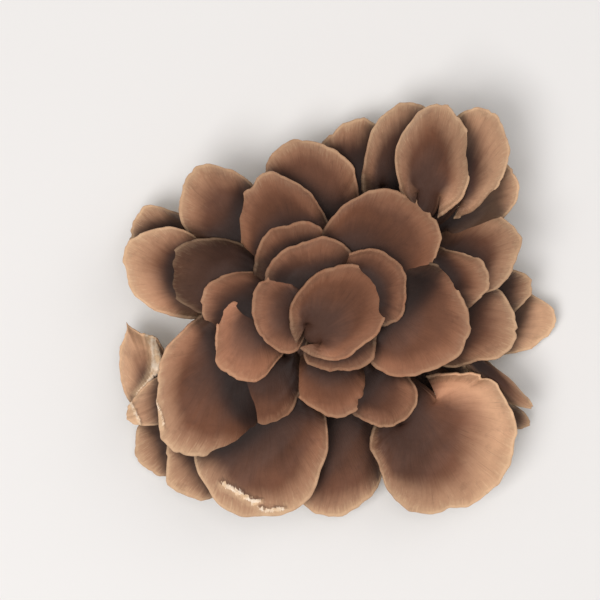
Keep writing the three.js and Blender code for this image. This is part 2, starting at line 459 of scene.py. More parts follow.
    def stem(self, t: Array, x: Array, rise: Array, bulge: Array) -> Array:
        """Points round the stem: flattened rings along a Bezier curve from the base outwards to the neck.

        Args:
            t: Share of the way from root to neck, down the rows.
            x: Column from -1, left, to 1, right.
            rise: 1 on the upper face, -1 on the lower one.
            bulge: How far round a side edge a column lies, from 0 to 1.

        Returns:
            Points in millimetres.
        """
        tier = self.tier.value
        out = unit(self.neck * np.array([1.0, 1.0, 0.0]))
        root = out * tier.root_radius + UP * tier.root_height
        reach = float(np.linalg.norm(self.neck - root))
        low = root + out * reach * STEM.root_reach
        low[2] = mix(tier.root_height, self.neck[2], STEM.root_rise)
        high = self.neck - self.forward * reach * STEM.neck_reach
        t = t[..., None]
        left = 1 - t
        path = left**3 * root + 3 * left**2 * t * low + 3 * left * t**2 * high + t**3 * self.neck
        along = unit(left**2 * (low - root) + 2 * left * t * (high - low) + t**2 * (self.neck - high))
        side = unit(self.side - (along @ self.side)[..., None] * along)
        normal = np.cross(along, side)
        half_width = mix(STEM.root_half_width, STEM.neck_share * self.width, t)
        thickness = mix(STEM.root_thickness, STEM.neck_thickness, t)
        wave = np.sin(STEM.ridges * x + 3 * t[..., 0] + self.phase(80))
        ridges = 1 + STEM.ridge_share * wave[..., None]
        across = side_share(x) + np.sign(x) * bulge * STEM.edge_bulge
        return (
            path
            - normal * thickness / 2
            + side * half_width * across[..., None]
            + normal * thickness / 2 * (rise * thick_share(x))[..., None] * ridges
        )

    def cap(self, share: Array, turn: Array, x: Array, rise: Array, bulge: Array) -> Array:
        """Points round the cap: the fan between neck and margin, with a round rim.

        A point lies ahead and aside by its share of the outline, on the top or below it by the thickness.
        Past the margin the two faces close on a half circle.

        Args:
            share: Share of the way from neck to margin.
            turn: How far round the rim, 0 before the margin and 1 at its outermost line.
            x: Column from -1 to 1 across the fan.
            rise: As for the stem.
            bulge: As for the stem.

        Returns:
            Points in millimetres.
        """
        angle = x * self.tier.value.fan
        ahead, aside = self.outline(angle)
        fray = 1 + self.fray(angle) * smooth(CAP.fray_start, 1.0, share)
        plain, thickness = self.body(x, aside, share)
        out = share * fray + np.sin(turn * math.pi / 2) * thickness / 2 / np.hypot(ahead, aside)
        top = plain + self.relief(share, angle)
        level = top - thickness / 2 + thickness / 2 * rise * np.cos(turn * math.pi / 2)
        spread = np.where(share > 0, out / np.maximum(share, 1e-9), 1.0)
        aside_now = self.sideways(x, aside * spread, share)
        edge = bulge * np.sign(x) * thickness / 2 * (1 - turn)
        flat = smooth(0.0, CAP.edge_end, share)
        points = (
            self.neck
            + self.forward * (ahead * out - np.abs(edge) * flat)[..., None]
            + self.side * (aside_now + edge * (1 - flat))[..., None]
        )
        for tear in self.tears:
            distance = tear.distance(points[..., 0], points[..., 1])
            flap = CAP.flap * bell(distance - 1.8 * tear.width, tear.width)
            level = level + tear.depth * (flap - bell(distance, tear.width)) * (rise > 0)
        return points + self.normal * level[..., None]

    def footprint(self, start: float = SETTLE.start, count: int = SETTLE.count) -> tuple[Array, Array]:
        """The lowest and the highest point of the cap in each cell of the settling grid.

        Args:
            start: Share of the way out from which the cap is read.
            count: How many columns and bands are read.

        Returns:
            Two grids, with infinities where the cap covers nothing.
        """
        x = np.linspace(-1, 1, count + 1)[None, :]
        share = mix(start, 1, np.arange(count + 1) / count)[:, None]
        ahead, aside = self.outline(x * self.tier.value.fan)
        level, thickness = self.body(x, aside, share)
        forward = self.forward * (ahead * share)[..., None]
        flat = self.neck + forward + self.side * self.sideways(x, aside, share)[..., None]
        faces = [flat + self.normal * z[..., None] for z in (level, level - thickness)]
        points = np.concatenate([face.reshape(-1, 3) for face in faces])
        cells = np.floor(points[:, :2] / SETTLE.cell + 0.5).astype(int) + SETTLE.grid // 2
        low = np.full((SETTLE.grid, SETTLE.grid), np.inf)
        high = np.full((SETTLE.grid, SETTLE.grid), -np.inf)
        np.minimum.at(low, (cells[:, 0], cells[:, 1]), points[:, 2])
        np.maximum.at(high, (cells[:, 0], cells[:, 1]), points[:, 2])
        return low, high


def settle(fronds: list[Frond]) -> None:
    """Lifts each frond in turn, by whole steps, until its cap clears those below it or the lift reaches its
    largest.

    Args:
        fronds: The fronds, lowest first.
    """
    piled = np.full((SETTLE.grid, SETTLE.grid), -np.inf)
    for frond in fronds:
        low, high = frond.footprint()
        need = max(0.0, float(np.max(piled + SETTLE.gap - low)))
        frond.lift = min(SETTLE.most_lift, math.ceil(need / SETTLE.step) * SETTLE.step)
        piled = np.maximum(piled, high + frond.lift)
        frond.place()


def blur(grid: Array, width: float) -> Array:
    """Softens a grid: the mean of its cells along each axis in turn, weighted by a bell.

    Args:
        grid: The grid.
        width: How many cells wide the bell is.

    Returns:
        The softened grid.
    """
    reach = math.ceil(3 * width)
    weights = bell(np.arange(-reach, reach + 1), width)
    weights = weights / weights.sum()
    for axis in (0, 1):
        grid = np.apply_along_axis(np.convolve, axis, grid, weights, "same")
    return grid


def read_grid(grid: Array, x: Array, y: Array) -> Array:
    """Reads a grid at points seen from above, mixed between neighbouring cells.

    Args:
        grid: The grid.
        x: First coordinates of the points.
        y: Their second coordinates.

    Returns:
        Its values there.
    """
    u, v = (np.clip(axis / SETTLE.cell + SETTLE.grid / 2, 0, SETTLE.grid - 2) for axis in (x, y))
    i, j = u.astype(int), v.astype(int)
    near = mix(grid[i, j], grid[i + 1, j], u - i)
    far = mix(grid[i, j + 1], grid[i + 1, j + 1], u - i)
    return mix(near, far, v - j)


def shade_covered(fronds: list[Frond]) -> None:
    """Gives each frond how much of the fronds above lies over it, painted as shade: 1 under a cap, softened
    by a bell.

    Args:
        fronds: The settled fronds, lowest first.
    """
    above = np.zeros((SETTLE.grid, SETTLE.grid))
    for frond in reversed(fronds):
        frond.cover = blur(above, SETTLE.spread / SETTLE.cell)
        above = np.maximum(above, np.isfinite(frond.footprint(0.0, SETTLE.fine_count)[0]))


# --- Skins ------------------------------------------------

WELD = 1e-6  # Distance within which points are welded, in metres.
UNTORN = 20.0  # What a point far from every tear reads.
NUMBER_STEP = 1.37  # From one frond's number to the next, as its noises read it.
# Painted light and shade: a frond's lean makes one side of its cap paler and the other darker.
HAND_SPREAD = 0.35  # The most by which a frond's own lean is drawn to either side.


def wander(points: Array) -> Array:
    """Moves points by slow waves through space, less near the cut, so that no form stays drawn by rule.

    Args:
        points: Points in millimetres.

    Returns:
        The moved points.
    """
    x, y, z = np.moveaxis(points, -1, 0)
    free = smooth(0.0, 8.0, z)
    moved = (
        0.5 * np.sin(0.19 * y + 0.23 * z + 0.7) + 0.22 * np.sin(0.47 * y - 0.31 * x + 2.1),
        0.5 * np.sin(0.21 * x - 0.17 * z + 1.9) + 0.22 * np.sin(0.43 * x + 0.37 * y + 0.4),
        0.3 * np.sin(0.27 * x + 0.24 * y + 0.3) + 0.14 * np.sin(0.61 * x - 0.52 * y + 1.2),
    )
    return points + np.stack(moved, axis=-1) * free[..., None]


@dataclass
class Skin:
    """A closed skin on a grid of rows and columns, and what its finish reads at each point.

    Attributes:
        points: Points in millimetres, rows by columns by 3; the columns close on themselves.
        place: On a cap, fan angle, share of the way out, and distance to the margin in millimetres; on the
            base, the direction from its axis and the height.
        kind: How far under the cap, how far down the stem, and the frond's own number.
        tear: Distance past the edge of a tear, how far the point is on its raised side, where a shadow of the
            flap
        is painted, and how far on its sunk side.
        tone: The frond's paleness with its painted light and shade, how much lies over the point,
        which is painted as shade, and the frond's own hue.
    """

    points: Array
    place: Array
    kind: Array
    tear: Array
    tone: Array

    def quads(self, start: int) -> Array:
        """The faces between neighbouring rows and columns.

        Args:
            start: Number of the skin's first vertex.

        Returns:
            The numbers of each face's four corners.
        """
        rows, columns = self.points.shape[:2]
        number = start + np.arange(rows * columns).reshape(rows, columns)
        across = np.roll(number, -1, axis=1)
        faces = (number[:-1], number[1:], across[1:], across[:-1])
        return np.stack([corner.reshape(-1) for corner in faces], axis=1)


def frond_skin(frond: Frond) -> Skin:
    """The skin of one frond: a pole in the base, rings along the stem and out over the cap, and the rim.

    Args:
        frond: The frond, already settled.

    Returns:
        Its skin.
    """
    fine = frond.density
    arc = math.pi * np.arange(1, fine.edge) / fine.edge
    face = np.linspace(-1, 1, fine.across + 1)
    flat, edge = np.ones_like(face), np.ones_like(arc)
    x = np.concatenate([face, edge, -face, -edge])[None, :]
    rise = np.concatenate([flat, np.cos(arc), -flat, -np.cos(arc)])[None, :]
    bulge = np.concatenate([0 * flat, np.sin(arc), 0 * flat, np.sin(arc)])[None, :]

    t = (np.arange(fine.stem) / fine.stem)[:, None] + 0 * x
    share = np.concatenate([np.linspace(0, 1, fine.cap + 1), np.ones(fine.rim)])[:, None] + 0 * x
    turn = np.concatenate([np.zeros(fine.cap + 1), np.arange(1, fine.rim + 1) / fine.rim])[:, None] + 0 * x
    stem = frond.stem(t, x, rise, bulge)
    cap = frond.cap(share, turn, x, rise, bulge)
    pole = np.broadcast_to(stem[0].mean(axis=0), stem[:1].shape)
    points = wander(np.concatenate([pole, stem, cap]))

    stem_rows = np.concatenate([np.zeros((1, x.size)), t])
    way_out = np.concatenate([stem_rows - 1, share])
    angle = x * frond.tier.value.fan + 0 * way_out
    margin = np.hypot(*frond.outline(angle)) * (1 - way_out)
    under = 0.5 - 0.5 * rise * np.cos(np.concatenate([0 * stem_rows, turn]) * math.pi / 2)
    down = np.concatenate([1 - stem_rows, 0 * share])
    past, side = np.full(margin.shape, UNTORN), np.full(margin.shape, UNTORN)
    for tear in frond.tears:
        distance = tear.distance(points[..., 0], points[..., 1])
        near = np.abs(distance) - tear.width < past
        past = np.where(near, np.abs(distance) - tear.width, past)
        side = np.where(near, distance / tear.width, side)
    # The raised side of a tear carries a painted shadow of the flap.
    raised = smooth(0.3, 1.2, side) * (1 - smooth(1.6, 3.6, side))
    sunk = 1 - smooth(-0.5, 0.5, side)
    # How much lies over each point, which the skin paints as shade.
    cover = read_grid(frond.cover, points[..., 0], points[..., 1])
    same = np.zeros_like(cover)
    # Painted light on one side of the cap and painted shade on the other, by its lean and a drawn share.
    lean = frond.lean + mix(-HAND_SPREAD, HAND_SPREAD, draw(frond.index, 91))
    tone = frond.tone + lean * np.sin(0.7 * angle)
    return Skin(
        points=points,
        place=np.stack([angle, way_out, margin], axis=-1),
        kind=np.stack([under, down, same + frond.index * NUMBER_STEP], axis=-1),
        tear=np.stack([past, raised, sunk], axis=-1),
        tone=np.stack([tone, cover, same + draw(frond.index, 90)], axis=-1),
    )


def make_piece(name: str, skins: list[Skin], material: bpy.types.Material) -> bpy.types.Object:
    """Args:
        name: Name of the piece.
        skins: Its skins.
        material: Its finish.

    Returns:
        The object, at the origin, in metres.
    """
    counts = [skin.points.shape[0] * skin.points.shape[1] for skin in skins]
    starts = np.concatenate([[0], np.cumsum(counts)[:-1]])
    points = np.concatenate([skin.points.reshape(-1, 3) for skin in skins]) * MM
    quads = np.concatenate([skin.quads(int(start)) for skin, start in zip(skins, starts)])
    mesh = bpy.data.meshes.new(name)
    mesh.vertices.add(len(points))
    mesh.vertices.foreach_set("co", points.reshape(-1))
    mesh.loops.add(quads.size)
    mesh.loops.foreach_set("vertex_index", quads.reshape(-1).astype(np.int32))
    mesh.polygons.add(len(quads))
    mesh.polygons.foreach_set("loop_start", np.arange(0, quads.size, 4, dtype=np.int32))
    mesh.update(calc_edges=True)
    for layer in ("place", "kind", "tear", "tone"):
        values = np.concatenate([getattr(skin, layer).reshape(-1, 3) for skin in skins])
        attribute = mesh.attributes.new(layer, "FLOAT_VECTOR", "POINT")
        attribute.data.foreach_set("vector", values.reshape(-1).astype(np.float32))
    shell = bmesh.new()
    shell.from_mesh(mesh)
    bmesh.ops.remove_doubles(shell, verts=shell.verts, dist=WELD)
    bmesh.ops.recalc_face_normals(shell, faces=shell.faces)
    shell.to_mesh(mesh)
    shell.free()
    mesh.shade_smooth()
    mesh.materials.append(material)
    piece = bpy.data.objects.new(name, mesh)
    bpy.context.scene.collection.objects.link(piece)
    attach(piece, BODY)
    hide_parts(NODE)
    return piece


# --- Finishes ---------------------------------------------


def paint(red: float, green: float, blue: float) -> Colour:
    """A colour as a screen shows it, each part from 0 to 255, in the linear values that a shader takes."""
    return (*(float(((part / 255 + 0.055) / 1.055) ** 2.4) for part in (red, green, blue)), 1.0)


class Value:
    """A number that changes over a surface: one socket, whose arithmetic adds Math nodes."""

    def __init__(self, bench: "Bench", socket: bpy.types.NodeSocket) -> None:
        """Wraps a socket of a bench."""
        self.bench = bench
        self.socket = socket

    def _math(self, operation: str, first: object, second: object) -> "Value":
        """Adds a Math node on two operands."""
        return self.bench.node("ShaderNodeMath", {"operation": operation}, {0: first, 1: second})

    def __add__(self, other: object) -> "Value":
        """This plus another."""
        return self._math("ADD", self, other)

    def __radd__(self, other: object) -> "Value":
        """Another plus this."""
        return self._math("ADD", other, self)

    def __sub__(self, other: object) -> "Value":
        """This less another."""
        return self._math("SUBTRACT", self, other)

    def __rsub__(self, other: object) -> "Value":
        """Another less this."""
        return self._math("SUBTRACT", other, self)

    def __mul__(self, other: object) -> "Value":
        """This times another."""
        return self._math("MULTIPLY", self, other)

    def rise(self, low: float, high: object) -> "Value":
        """From 0 where this is low to 1 where it is high, smoothly."""
        settings = {"interpolation_type": "SMOOTHSTEP"}
        inputs = {"Value": self, "From Min": low, "From Max": high}
        return self.bench.node("ShaderNodeMapRange", settings, inputs)

    def fall(self, low: float, high: object) -> "Value":
        """From 1 where this is low to 0 where it is high, smoothly."""
        return 1 - self.rise(low, high)

    def swing(self, size: float) -> "Value":
        """A noise from 0 to 1, moved to either side of 0 and spread over a size."""
        return (self - 0.5) * size


class Bench:
    """The nodes of one material."""

    def __init__(self, name: str) -> None:
        """Makes an empty material."""
        self.material = bpy.data.materials.new(name)
        self.material.use_nodes = True
        self.tree = self.material.node_tree
        self.tree.nodes.clear()

    def node(self, kind: str, settings: dict, inputs: dict, output: int | str = 0) -> Value:
        """Adds a node.

        Args:
            kind: The node's type.
            settings: Its settings, which are set first.
            inputs: The values or links of its sockets, by name or number.
            output: The socket to return.

        Returns:
            The output, wrapped.
        """
        made = self.tree.nodes.new(kind)
        for name, setting in settings.items():
            setattr(made, name, setting)
        for key, value in inputs.items():
            if isinstance(value, Value):
                self.tree.links.new(value.socket, made.inputs[key])
            else:
                made.inputs[key].default_value = value
        return Value(self, made.outputs[output])

    def parts(self, layer: str) -> tuple[Value, Value, Value]:
        """The three numbers of one of the mesh's own attributes."""
        vector = self.node("ShaderNodeAttribute", {"attribute_name": layer}, {}, "Vector")
        return self.axes(vector)

    def axes(self, vector: Value) -> tuple[Value, Value, Value]:
        """The three numbers of a vector."""
        return tuple(self.node("ShaderNodeSeparateXYZ", {}, {0: vector}, axis) for axis in range(3))

    def spot(self, x: object, y: object, z: object) -> Value:
        """A vector of three numbers."""
        return self.node("ShaderNodeCombineXYZ", {}, {0: x, 1: y, 2: z})

    def own_place(self) -> Value:
        """The point on the object, in its own coordinates."""
        return self.node("ShaderNodeTexCoord", {}, {}, "Object")

    def noise(self, vector: Value, scale: float, detail: float, rough: float = 0.5) -> Value:
        """Cloudy noise from 0 to 1."""
        inputs = {"Vector": vector, "Scale": scale, "Detail": detail, "Roughness": rough}
        return self.node("ShaderNodeTexNoise", {}, inputs)

    def blend(self, share: object, first: object, second: object) -> Value:
        """Goes from the first colour to the second by a share."""
        return self.node("ShaderNodeMix", {"data_type": "RGBA"}, {0: share, 6: first, 7: second}, 2)

    def layers(self, colour: object, *coats: tuple[object, object]) -> Value:
        """Lays coats over a colour in turn, each blended in by its share.

        Args:
            colour: The colour below.
            coats: The share and the colour of each coat.

        Returns:
            The colour.
        """
        for share, coat in coats:
            colour = self.blend(share, colour, coat)
        return colour

    def shade(self, colour: Value, light: Value) -> Value:
        """A colour made lighter or darker by a number round 1."""
        return self.node("ShaderNodeVectorMath", {"operation": "SCALE"}, {0: colour, "Scale": light})

    def bump(self, height: Value, depth: float, strength: float) -> Value:
        """A normal that shows a height, which is depth metres at 1."""
        inputs = {"Height": height, "Distance": depth, "Strength": strength}
        return self.node("ShaderNodeBump", {}, inputs)

    def finish(self, inputs: dict) -> bpy.types.Material:
        """Ends the material with a Principled shader.

        Args:
            inputs: The values or links of the shader's sockets.

        Returns:
            The material.
        """
        shader = self.node("ShaderNodeBsdfPrincipled", {}, inputs)
        output = self.tree.nodes.new("ShaderNodeOutputMaterial")
        self.tree.links.new(shader.socket, output.inputs["Surface"])
        return self.material


@dataclass(frozen=True)
class CapSkin:
    """Velvety skin: dark by the neck, brown, tan towards a pale rim, with pores below and flesh in tears.

    Its colours run from the painted shade under other caps to the margin, and then come those of pores, torn
    flesh, the stem's underside and the painted shade at its foot. Near and far are distances from the axis,
    and relief is a depth, in metres.
    """

    # Painted shade, near black, where other caps lie over the skin.
    deep: Colour = paint(24, 14, 11)
    # The skin's own dark brown by the neck, also laid as painted shade under other caps and beside tear
    # flaps.
    heart_and_shade: Colour = paint(52, 32, 25)
    brown: Colour = paint(120, 75, 52)
    grey: Colour = paint(108, 77, 63)
    russet: Colour = paint(178, 122, 92)
    tan: Colour = paint(194, 150, 118)
    rim: Colour = paint(226, 190, 152)
    pores: Colour = paint(226, 208, 178)
    flesh: Colour = paint(246, 226, 204)
    stalk: Colour = paint(206, 182, 150)
    # Painted shade on the tops of the stems, darker down towards the base.
    crevice_shade: Colour = paint(70, 48, 38)
    roughness: float = 0.62
    near: float = 0.022
    far: float = 0.06
    pore_scale: float = 1900
    relief: float = 0.0003

    def material(self) -> bpy.types.Material:
        """Builds the material.

        Threads run outwards, because their noise is stretched along the share of the way out. They shift the
        edge between brown and tan, which follows the distance to the margin.

        Returns:
            The material.
        """
        bench = Bench("cap_skin")
        angle, out, margin = bench.parts("place")
        under, down, number = bench.parts("kind")
        past, raised, sunk = bench.parts("tear")
        tone, cover, hue = bench.parts("tone")

        def threads(count: float, cuts: float, detail: float = 3.0, rough: float = 0.6) -> Value:
            """Noise in threads: so many to a radian, in so many lengths on the way out."""
            return bench.noise(bench.spot(angle * count, out * cuts, number), 1.0, detail, rough)

        here = bench.own_place()
        streaks, fibres, shreds = threads(7, 1.6), threads(38, 4, 4.0, 0.62), threads(110, 9)
        clouds = bench.noise(here, 60, 3.0)
        hues = bench.noise(here, 33, 2.0)
        mottle = bench.noise(here, 210, 4.0, 0.65)
        flakes = bench.noise(here, 420, 3.0, 0.6)
        grain = bench.noise(here, 900, 4.0, 0.6)

        x, y, _ = bench.axes(here)
        outward = (x * x + y * y).rise(self.near**2, self.far**2)
        below = under.rise(0.5, 0.75)
        above = 1 - below
        # Painted shade where other caps lie over the skin: it darkens there, and its tan band and pale marks
        # fade.
        cover_shade = (cover + clouds.swing(0.25) + streaks.swing(0.1)).rise(0.02, 0.5)
        unshaded = 1 - cover_shade
        behind = (angle * angle).rise(1.5**2, 2.3**2)

        # Dark by the neck, partly the skin's own colour and partly painted shade; under other caps it is all
        # painted shade.
        dark = (out + tone * 0.27 + clouds.swing(0.6) + streaks.swing(0.3)).fall(0.2, 0.95)
        dark = 1 - (1 - dark * 0.85) * unshaded * (1 - behind * 0.6)
        # Painted shade, near black, deep under other caps.
        deep_shade_mask = (cover + clouds.swing(0.2)).rise(0.25, 0.7)
        edge = margin + streaks.swing(5) + fibres.swing(3.5) + clouds.swing(9)
        band = edge.fall(0.0, 7 + outward * 5 + tone * 8)
        band = band * (1 - cover_shade * 0.85) * (1 - behind * 0.7) * (0.5 + outward * 0.32 + tone * 0.3)
        feather = (margin + fibres.swing(8)).fall(0.2, 3.2)
        line = (margin + fibres.swing(1.5)).fall(0.1, 0.8) * streaks.rise(0.3, 0.6)
        dashes = threads(55, 9, 2.0, 0.5).rise(0.58, 0.7) * margin.fall(1, 8)
        fibrils = threads(80, 3).rise(0.55, 0.75) * margin.rise(0.5, 4)
        colour = bench.layers(
            bench.blend(hues.rise(0.42, 0.62) * 0.3 + hue * 0.25, self.brown, self.grey),
            (dark * 0.92, self.heart_and_shade),
            (deep_shade_mask * 0.8, self.deep),
            (band, bench.blend(outward, self.russet, self.tan)),
            (feather * (0.06 + outward * 0.24) * (1 - cover_shade * 0.6), self.rim),
            (line * (0.12 + outward * 0.24), self.rim),
            (mottle.rise(0.52, 0.72) * 0.2, self.heart_and_shade),
            (dashes * unshaded * outward * 0.3, self.rim),
            (fibrils * 0.3, self.heart_and_shade),
        )

        # Painted light and shade: the paleness term lightens some caps and darkens the darkest where nothing
        # lies over them.
        light = 0.8 + fibres * 0.16 + clouds * 0.3 + mottle * 0.14 + tone * unshaded * 0.2 - grain * 0.2
        past = past + shreds.swing(2) + flakes.swing(0.8) + grain.swing(0.4)
        colour = bench.layers(
            bench.shade(colour, light),
            (below * out.rise(-0.1, 0.25), self.pores),
            (below * out.fall(-0.1, 0.25), self.stalk),
            # Painted shade on the tops of the stems, darker down towards the base.
            (above * down.rise(0.0, 0.5), self.crevice_shade),
            (past.fall(0.0, 2.2) * sunk * above * 0.45, self.rim),
            # Painted shadow of the flap on the raised side of a tear.
            (raised * above * 0.5, self.heart_and_shade),
            (past.fall(-0.2, 0.15) * above, bench.blend(flakes.rise(0.35, 0.65), self.rim, self.flesh)),
        )

        holes = bench.node("ShaderNodeTexVoronoi", {}, {"Vector": here, "Scale": self.pore_scale})
        height = fibres * 0.5 + streaks * 0.4 + grain * 0.35 + holes.rise(0.1, 0.5) * below * 1.2
        return bench.finish({
            "Base Color": colour,
            "Roughness": self.roughness + grain.swing(0.14) + below * 0.16,
            "Normal": bench.bump(height, self.relief, 0.55),
            "Specular IOR Level": 0.2,
        })


@dataclass(frozen=True)
class BaseFlesh:
    """Fibrous flesh of the base: cream where it is cut, with painted shade up between the stems."""

    cream: Colour = paint(222, 202, 170)
    fawn: Colour = paint(178, 144, 110)
    crevice_shade: Colour = paint(70, 48, 38)
    # Painted shade up between the stems.
    cut: Colour = paint(232, 214, 182)
    relief: float = 0.0005

    def material(self) -> bpy.types.Material:
        """Builds the material: fibres run up the sides, and painted shade grows with height.

        Returns:
            The material.
        """
        bench = Bench("base_flesh")
        x, y, height = bench.parts("place")
        here = bench.own_place()
        side = height.rise(0.05, 0.6)
        fibres = bench.noise(bench.spot(x * 16, y * 16, height * 0.05), 1.0, 4.0, 0.6)
        clouds = bench.noise(here, 70, 3.0)
        fibres = fibres * side + clouds * (1 - side)
        grain = bench.noise(here, 1100, 4.0, 0.6)
        colour = bench.layers(
            self.cream,
            ((clouds * 0.7 + fibres * 0.5).rise(0.45, 0.75), self.fawn),
            # Painted shade, growing with height up between the stems.
            ((height + clouds.swing(12)).rise(14, 30), self.crevice_shade),
            ((1 - side) * (0.6 + clouds * 0.6), self.cut),
        )
        return bench.finish({
            "Base Color": bench.shade(colour, 0.86 + fibres * 0.18 + grain * 0.08),
            "Roughness": 0.78,
            "Normal": bench.bump(fibres * 0.8 + grain * 0.3, self.relief, 0.6),
            "Specular IOR Level": 0.3,
        })


@dataclass(frozen=True)
class PaleFloor:
    """A plain pale floor with a trace of clouds."""

    pale: Colour = paint(232, 229, 227)
    cloud: Colour = paint(214, 210, 207)

    def material(self) -> bpy.types.Material:
        """Builds the material."""
        bench = Bench("pale_floor")
        clouds = bench.noise(bench.own_place(), 6, 2.0)
        colour = bench.blend(clouds * 0.06, self.pale, self.cloud)
        return bench.finish({"Base Color": colour, "Roughness": 0.7, "Specular IOR Level": 0.2})


# --- The cluster ------------------------------------------

TORN_EDGE = Tear(
    path=((-29.4, -49.9), (-27.6, -50.8), (-25.5, -51.9), (-23.2, -53.5), (-20.6, -55.3), (-19.7, -54.9)),
    width=0.55, depth=0.5, jag=0.26,
)
TORN_RIM = Tear(
    path=((-18.6, -57.0), (-17.4, -58.0), (-16.0, -57.7), (-14.5, -57.4), (-12.2, -57.4)),
    width=0.4, depth=0.4, jag=0.24,
)
BROKEN_SIDE = Tear(
    path=((-51.6, -6.6), (-50.0, -9.8), (-49.2, -13.5), (-49.8, -17.6)),
    width=1.1, depth=0.4, jag=0.1,
)
BROKEN_TAIL = Tear(path=((-49.8, -17.6), (-51.6, -20.5), (-54.6, -24.2)), width=0.5, depth=0.4, jag=0.1)
LEFT_CRACK = Tear(
    path=((-57.2, -26.0), (-55.6, -28.6), (-54.1, -31.4), (-53.9, -34.0)),
    width=0.3, depth=0.4, jag=0.1,
)
LOW_CRACK = Tear(
    path=((-49.6, -24.4), (-48.4, -27.2), (-47.2, -29.8), (-46.6, -33.0)),
    width=0.2, depth=0.3, jag=0.1,
)


@dataclass
class CutBase:
    """The stout base: a lathed stub, lobed and pleated, with a flat cut below.

    Attributes:
        profile: Radius and height, from the rim of the cut up to a pole.
        lobes: How many lobes it has.
        lobe_share: How far they swell, as a share of the radius.
        pleats: Count, height and twist to a millimetre of each set of pleats.
        around: Columns round it.
        rows: Rows up its side.
        cut_rows: Rows over the cut.
        rounding: Over how many rows its profile is rounded.
    """

    profile: tuple[tuple[float, float], ...] = (
        (22, 0), (23.4, 0.5), (28, 7), (29, 15), (26, 23), (20, 30), (12, 36), (0, 40),
    )
    lobes: int = 5
    lobe_share: float = 0.05
    pleats: tuple[tuple[float, float, float], ...] = ((23, 0.35, 0.2), (41, 0.22, -0.3))
    around: int = 220
    rows: int = 90
    cut_rows: int = 16
    rounding: int = 5

    def skin(self) -> Skin:
        """The skin: rings out over the cut, then up the side to a pole.

        The radius follows the profile, swells with a sine of as many turns as lobes, and has finer sines as
        pleats, which twist with height.

        Returns:
            The skin.
        """
        turn = np.linspace(0, TURN, self.around, endpoint=False)[None, :]
        radii, heights = np.array(self.profile, dtype=float).T
        run = np.concatenate([[0], np.cumsum(np.hypot(np.diff(radii), np.diff(heights)))])
        way = np.linspace(0, run[-1], self.rows)
        cut = np.linspace(0, radii[0], self.cut_rows, endpoint=False)
        radius = np.concatenate([cut, np.interp(way, run, radii)])[:, None]
        height = np.concatenate([0 * cut, np.interp(way, run, heights)])[:, None] + 0 * turn
        padded = np.pad(radius[:, 0], self.rounding // 2, "edge")
        rounded = np.convolve(padded, np.ones(self.rounding) / self.rounding, "valid")[:, None]
        radius = np.where(height > heights[1], rounded, radius)
        radius[-1] = 0
        pleat = sum(rise * np.sin(count * turn + twist * height) for count, rise, twist in self.pleats)
        swell = 1 + self.lobe_share * np.sin(self.lobes * turn + 1)
        reach = radius * swell + pleat * smooth(3, 12, radius) * smooth(0.0, 3.0, height)
        points = np.stack([reach * np.cos(turn), reach * np.sin(turn), height], axis=-1)
        place = np.stack([np.cos(turn) + 0 * height, np.sin(turn) + 0 * height, height], axis=-1)
        blank = np.zeros(points.shape)
        return Skin(wander(points), place, blank, blank, blank)

    def build(self) -> bpy.types.Object:
        """Makes the base."""
        return make_piece("cut_base", [self.skin()], BaseFlesh().material())


@dataclass
class Cluster:
    """All fronds, listed lowest first.

    Attributes:
        fronds: The fronds.
        most_in_piece: How many of them one piece holds at the most.
    """

    fronds: list[Frond]
    most_in_piece: int = 6

    def __post_init__(self) -> None:
        """Numbers the fronds in their order and settles them."""
        for index, frond in enumerate(self.fronds):
            frond.index = index
            frond.place()
        settle(self.fronds)
        shade_covered(self.fronds)

    def build(self) -> list[bpy.types.Object]:
        """Makes one piece of each tier, or more where it holds many fronds.

        Returns:
            The pieces.
        """
        material = CapSkin().material()
        pieces = []
        for tier in Tier:
            own = [frond for frond in self.fronds if frond.tier is tier]
            count = math.ceil(len(own) / self.most_in_piece)
            for n in range(count):
                name = f"{tier.name.lower()}_fronds" + (f"_{n + 1}" if count > 1 else "")
                pieces.append(make_piece(name, [frond_skin(frond) for frond in own[n::count]], material))
        return pieces


